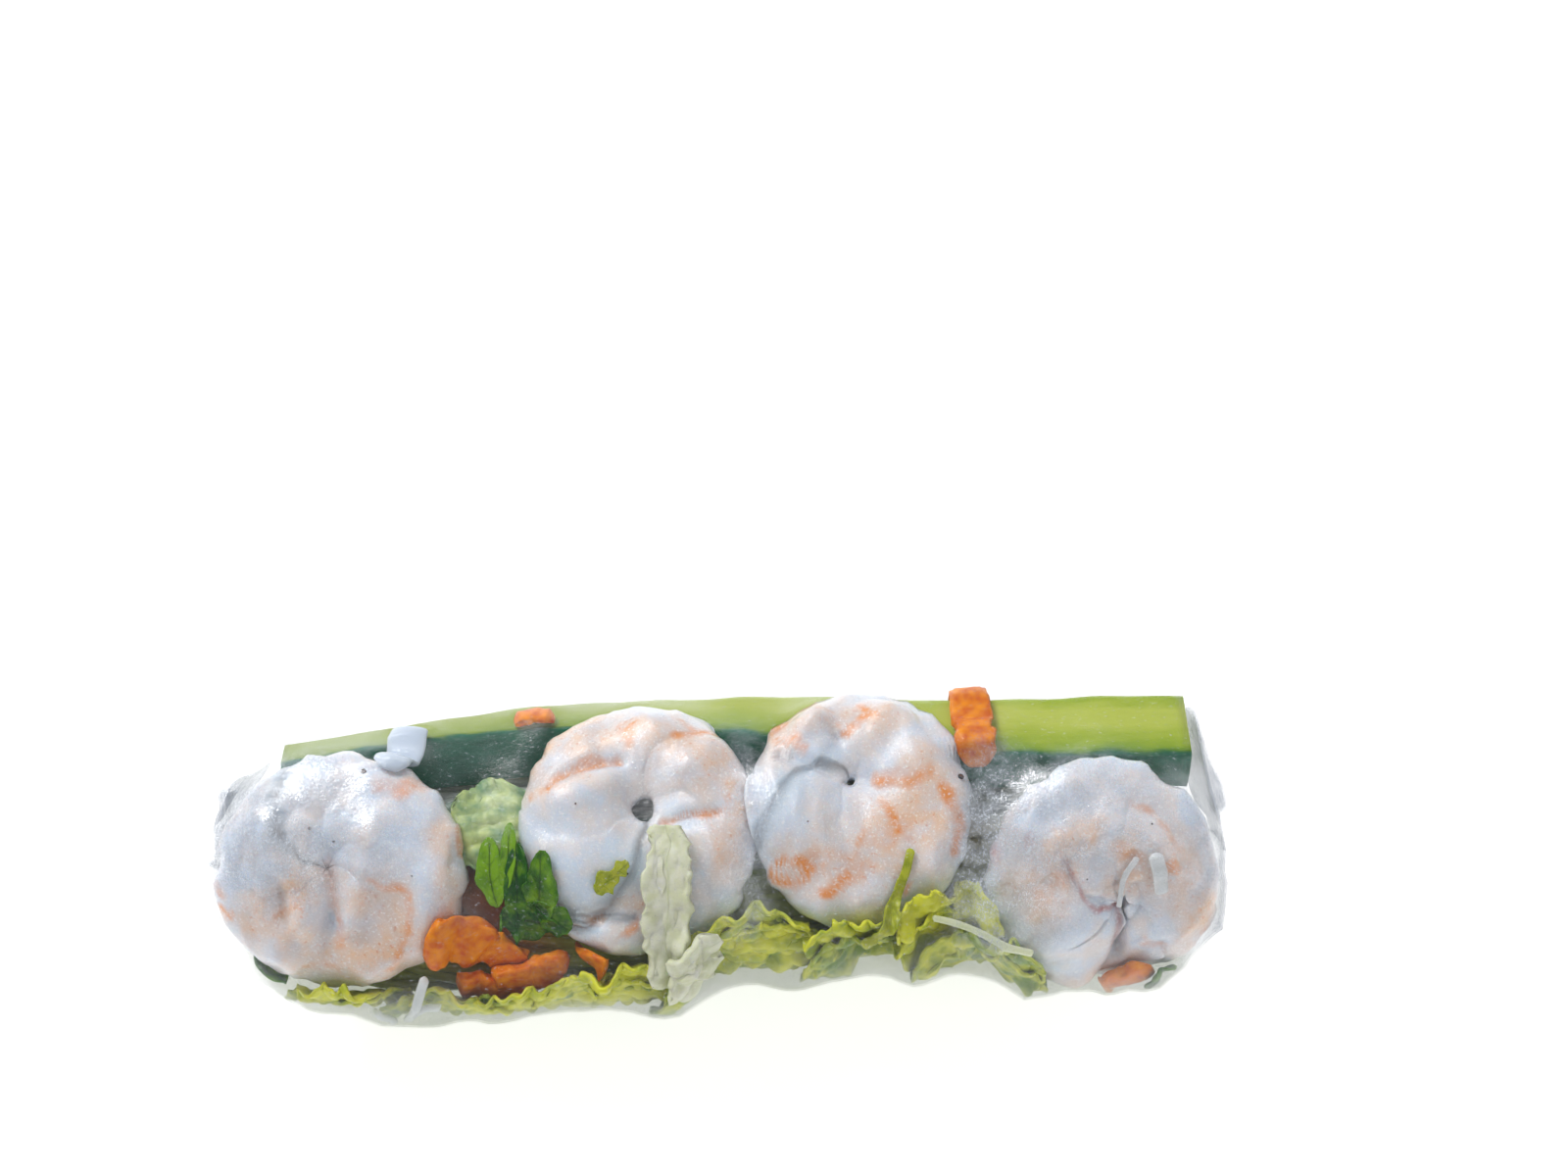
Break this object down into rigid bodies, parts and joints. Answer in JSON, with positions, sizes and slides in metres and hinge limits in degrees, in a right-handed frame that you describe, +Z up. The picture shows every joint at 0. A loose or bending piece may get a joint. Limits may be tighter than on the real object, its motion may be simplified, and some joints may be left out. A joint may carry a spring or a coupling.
{
  "type": "rice paper roll",
  "caption": "Fresh rice paper roll: curled shrimps, cucumber, carrot, lettuce, herbs and noodles seen through a translucent wrapper.",
  "frame": {"origin": "on the table under the middle of the roll, at the bottom centre of its bounding box", "axes": "+X along the roll, -Y to the front that shows the lettuce, +Z up"},
  "size_m": [0.1314, 0.0448, 0.0385],
  "materials": {
    "rice_paper": "wet, sticky and translucent",
    "shrimp": "moist cooked shrimp, white with orange-pink markings",
    "cucumber": "moist cut flesh with a dark green skin side",
    "carrot": "moist raw carrot",
    "lettuce": "frilled yellow-green leaf",
    "lettuce_rib": "pale crisp rib",
    "coriander": "dark green herb leaf",
    "noodle": "cooked rice noodle, white and slightly translucent"
  },
  "bodies": {
    "root": {"carrot_shred_1": "carrot", "carrot_shred_2": "carrot", "carrot_shred_3": "carrot", "carrot_shred_4": "carrot", "carrot_shred_5": "carrot", "carrot_shred_6": "carrot", "coriander_leaf_1": "coriander", "coriander_leaf_2": "coriander", "coriander_leaf_3": "coriander", "coriander_leaf_4": "coriander", "cucumber_stick": "cucumber", "lettuce_bed": "lettuce", "lettuce_leaf_1": "lettuce", "lettuce_leaf_2": "lettuce", "lettuce_leaf_3": "lettuce", "lettuce_leaf_4": "lettuce", "lettuce_leaf_5": "lettuce", "lettuce_leaf_6": "lettuce", "lettuce_rib_1": "lettuce_rib", "lettuce_rib_2": "lettuce_rib", "lettuce_sliver": "lettuce", "noodle_bundle": "noodle", "noodle_strand_1": "noodle", "noodle_strand_2": "noodle", "noodle_strand_3": "noodle", "noodle_strand_4": "noodle", "noodle_strand_5": "noodle", "rice_paper": "rice_paper", "shrimp_1": "shrimp", "shrimp_2": "shrimp", "shrimp_3": "shrimp", "shrimp_4": "shrimp"}
  },
  "joints": []
}
